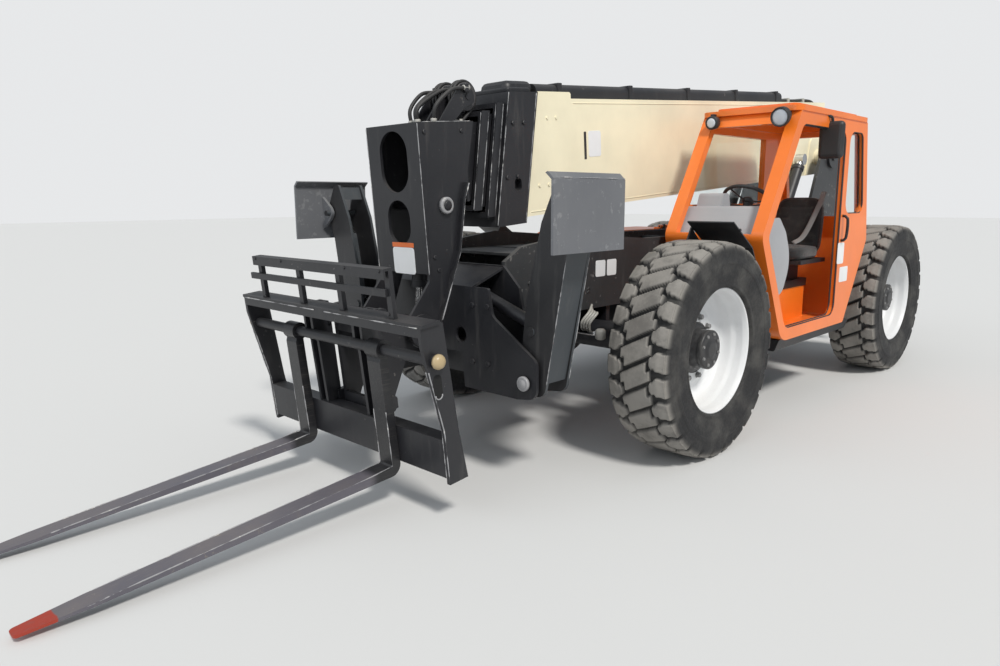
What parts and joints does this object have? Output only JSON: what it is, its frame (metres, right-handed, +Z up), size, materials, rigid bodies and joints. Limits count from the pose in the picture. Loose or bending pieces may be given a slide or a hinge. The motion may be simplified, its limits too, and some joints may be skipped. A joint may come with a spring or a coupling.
{
  "type": "telehandler",
  "caption": "Rough-terrain telescopic handler with a side cab, side engine pod, front outriggers, telescopic boom, drop head and fork carriage, boom lowered.",
  "frame": {"origin": "on the ground under the middle of the machine's overall box", "axes": "+X forward along the boom towards the fork tips, +Y to the cab side, +Z up"},
  "size_m": [7.8702, 2.57, 2.5478],
  "materials": {
    "cab_orange": "gloss paint, sun worn",
    "boom_cream": "gloss paint, dusty",
    "frame_black": "satin black paint with worn edges",
    "cast_weight": "painted rough casting",
    "worn_steel": "scraped bare steel",
    "rod_chrome": "polished",
    "rim_white": "satin paint, dusty",
    "tyre_rubber": "dusty rubber",
    "cab_plastic": "matte moulding",
    "seat_cover": "black seat cover",
    "clear_glass": "clear"
  },
  "bodies": {
    "chassis": {"chassis_frame": "frame_black", "counterweight": "cast_weight", "outrigger_beam": "frame_black", "side_supports": "frame_black", "engine_block": "cast_weight", "cab_shell": "cab_orange", "cab_roof": "cab_orange", "cab_side_glass": "clear_glass", "dash_console": "cab_plastic", "steering_wheel": "cab_plastic", "seat_base": "cab_plastic", "seat_cushion": "seat_cover", "seat_back": "seat_cover", "cab_mirror": "cab_plastic", "work_lamp": "cab_plastic", "axle_front": "frame_black", "axle_rear": "frame_black"},
    "hood": {"engine_hood": "cab_orange"},
    "boom_first": {"boom_base": "boom_cream", "boom_collar": "frame_black", "boom_hose_cover": "frame_black"},
    "boom_second": {"boom_mid": "frame_black"},
    "boom_third": {"boom_inner": "frame_black"},
    "boom_fourth": {"boom_fly": "frame_black", "boom_head": "frame_black"},
    "fork_carriage": {"coupler": "frame_black", "carriage": "frame_black", "load_backrest": "frame_black", "fork_tines": "worn_steel"},
    "lift_barrel_pair": {"lift_barrels": "frame_black"},
    "lift_rod_pair": {"lift_rods": "rod_chrome"},
    "tilt_cylinder_barrel": {"tilt_barrel": "frame_black"},
    "tilt_cylinder_rod": {"tilt_rod": "rod_chrome"},
    "steer_front_left": {"knuckle_front_left": "frame_black", "fender_left": "frame_black"},
    "wheel_front_left": {"rim_front_left": "rim_white", "tyre_front_left": "tyre_rubber"},
    "steer_front_right": {"knuckle_front_right": "frame_black", "fender_right": "frame_black"},
    "wheel_front_right": {"rim_front_right": "rim_white", "tyre_front_right": "tyre_rubber"},
    "steer_rear_left": {"knuckle_rear_left": "frame_black"},
    "wheel_rear_left": {"rim_rear_left": "rim_white", "tyre_rear_left": "tyre_rubber"},
    "steer_rear_right": {"knuckle_rear_right": "frame_black"},
    "wheel_rear_right": {"rim_rear_right": "rim_white", "tyre_rear_right": "tyre_rubber"},
    "support_leg_left": {"outrigger_leg_left": "frame_black"},
    "support_pad_left": {"outrigger_pad_left": "worn_steel"},
    "support_barrel_left": {"outrigger_barrel_left": "frame_black"},
    "support_rod_left": {"outrigger_rod_left": "rod_chrome"},
    "support_leg_right": {"outrigger_leg_right": "frame_black"},
    "support_pad_right": {"outrigger_pad_right": "worn_steel"},
    "support_barrel_right": {"outrigger_barrel_right": "frame_black"},
    "support_rod_right": {"outrigger_rod_right": "rod_chrome"}
  },
  "joints": [
    {"name": "steer_front_left", "type": "hinge", "parent": "chassis", "child": "steer_front_left", "pos_m": [0.41492, 0.78, 0.655], "axis": [0, 0, 1], "range_deg": [-35, 35]},
    {"name": "spin_front_left", "type": "hinge", "parent": "steer_front_left", "child": "wheel_front_left", "pos_m": [0.41492, 1.08, 0.655], "axis": [0, 1, 0], "continuous": true},
    {"name": "steer_front_right", "type": "hinge", "parent": "chassis", "child": "steer_front_right", "pos_m": [0.41492, -0.78, 0.655], "axis": [0, 0, 1], "range_deg": [-35, 35]},
    {"name": "spin_front_right", "type": "hinge", "parent": "steer_front_right", "child": "wheel_front_right", "pos_m": [0.41492, -1.08, 0.655], "axis": [0, 1, 0], "continuous": true},
    {"name": "steer_rear_left", "type": "hinge", "parent": "chassis", "child": "steer_rear_left", "pos_m": [-2.83508, 0.78, 0.655], "axis": [0, 0, 1], "range_deg": [-35, 35]},
    {"name": "spin_rear_left", "type": "hinge", "parent": "steer_rear_left", "child": "wheel_rear_left", "pos_m": [-2.83508, 1.08, 0.655], "axis": [0, 1, 0], "continuous": true},
    {"name": "steer_rear_right", "type": "hinge", "parent": "chassis", "child": "steer_rear_right", "pos_m": [-2.83508, -0.78, 0.655], "axis": [0, 0, 1], "range_deg": [-35, 35]},
    {"name": "spin_rear_right", "type": "hinge", "parent": "steer_rear_right", "child": "wheel_rear_right", "pos_m": [-2.83508, -1.08, 0.655], "axis": [0, 1, 0], "continuous": true},
    {"name": "hood_open", "type": "hinge", "parent": "chassis", "child": "hood", "pos_m": [-2.83508, -0.455, 1.3], "axis": [-1, 0, 0], "range_deg": [0, 60]},
    {"name": "boom_lift", "type": "hinge", "parent": "chassis", "child": "boom_first", "pos_m": [-3.39508, 0, 1.96], "axis": [0, -1, 0], "range_deg": [0, 75]},
    {"name": "extend_1", "type": "slide", "parent": "boom_first", "child": "boom_second", "axis": [0.9969, 0, -0.0785], "range_m": [0, 3.2]},
    {"name": "extend_2", "type": "slide", "parent": "boom_second", "child": "boom_third", "axis": [0.9969, 0, -0.0785], "range_m": [0, 3.2]},
    {"name": "extend_3", "type": "slide", "parent": "boom_third", "child": "boom_fourth", "axis": [0.9969, 0, -0.0785], "range_m": [0, 3.2]},
    {"name": "fork_tilt", "type": "hinge", "parent": "boom_fourth", "child": "fork_carriage", "pos_m": [1.86503, 0, 0.84987], "axis": [0, 1, 0], "range_deg": [-31, 74]},
    {"name": "tilt_barrel_turn", "type": "hinge", "parent": "boom_fourth", "child": "tilt_cylinder_barrel", "pos_m": [1.6764, 0, 1.52475], "axis": [0, 1, 0], "range_deg": [-1.1, 0.46]},
    {"name": "tilt_rod_slide", "type": "slide", "parent": "tilt_cylinder_barrel", "child": "tilt_cylinder_rod", "axis": [0.0218, 0, -0.9998], "range_m": [-0.23159, 0.09702]},
    {"name": "lift_barrel_turn", "type": "hinge", "parent": "chassis", "child": "lift_barrel_pair", "pos_m": [-2.13508, 0, 0.72], "axis": [0, -1, 0], "range_deg": [-2.9, 0]},
    {"name": "lift_rod_slide", "type": "slide", "parent": "lift_barrel_pair", "child": "lift_rod_pair", "axis": [-0.526, 0, 0.8505], "range_m": [0, 0.64823]},
    {"name": "outrigger_swing_left", "type": "hinge", "parent": "chassis", "child": "support_leg_left", "pos_m": [1.48992, 0.78, 0.6], "axis": [-1, 0, 0], "range_deg": [0, 106.44]},
    {"name": "pad_turn_left", "type": "hinge", "parent": "support_leg_left", "child": "support_pad_left", "pos_m": [1.48992, 1.03, 1.47], "axis": [-1, 0, 0], "range_deg": [-16.6, 0]},
    {"name": "support_barrel_turn_left", "type": "hinge", "parent": "chassis", "child": "support_barrel_left", "pos_m": [1.48992, 0.24, 1.05], "axis": [-1, 0, 0], "range_deg": [0, 10.49]},
    {"name": "support_rod_slide_left", "type": "slide", "parent": "support_barrel_left", "child": "support_rod_left", "axis": [0, 0.9487, -0.3162], "range_m": [0, 0.43917]},
    {"name": "outrigger_swing_right", "type": "hinge", "parent": "chassis", "child": "support_leg_right", "pos_m": [1.48992, -0.78, 0.6], "axis": [1, 0, 0], "range_deg": [0, 106.44]},
    {"name": "pad_turn_right", "type": "hinge", "parent": "support_leg_right", "child": "support_pad_right", "pos_m": [1.48992, -1.03, 1.47], "axis": [1, 0, 0], "range_deg": [-16.6, 0]},
    {"name": "support_barrel_turn_right", "type": "hinge", "parent": "chassis", "child": "support_barrel_right", "pos_m": [1.48992, -0.24, 1.05], "axis": [1, 0, 0], "range_deg": [0, 10.49]},
    {"name": "support_rod_slide_right", "type": "slide", "parent": "support_barrel_right", "child": "support_rod_right", "axis": [0, -0.9487, -0.3162], "range_m": [0, 0.43917]}
  ],
  "couplings": [
    {"joint": "steer_front_right", "follows": "steer_front_left", "ratio": 1},
    {"joint": "steer_rear_right", "follows": "steer_rear_left", "ratio": 1},
    {"joint": "extend_2", "follows": "extend_1", "ratio": 1},
    {"joint": "extend_3", "follows": "extend_1", "ratio": 1},
    {"joint": "tilt_barrel_turn", "follows": "fork_tilt", "ratio": -0.014713},
    {"joint": "tilt_rod_slide", "follows": "fork_tilt", "m_per_rad": -0.17753},
    {"joint": "lift_barrel_turn", "follows": "boom_lift", "ratio": -0.038254},
    {"joint": "lift_rod_slide", "follows": "boom_lift", "m_per_rad": 0.49031},
    {"joint": "pad_turn_left", "follows": "outrigger_swing_left", "ratio": -0.15445},
    {"joint": "support_barrel_turn_left", "follows": "outrigger_swing_left", "ratio": 0.097586},
    {"joint": "support_rod_slide_left", "follows": "outrigger_swing_left", "m_per_rad": 0.23406},
    {"joint": "pad_turn_right", "follows": "outrigger_swing_right", "ratio": -0.15445},
    {"joint": "support_barrel_turn_right", "follows": "outrigger_swing_right", "ratio": 0.097586},
    {"joint": "support_rod_slide_right", "follows": "outrigger_swing_right", "m_per_rad": 0.23406}
  ]
}
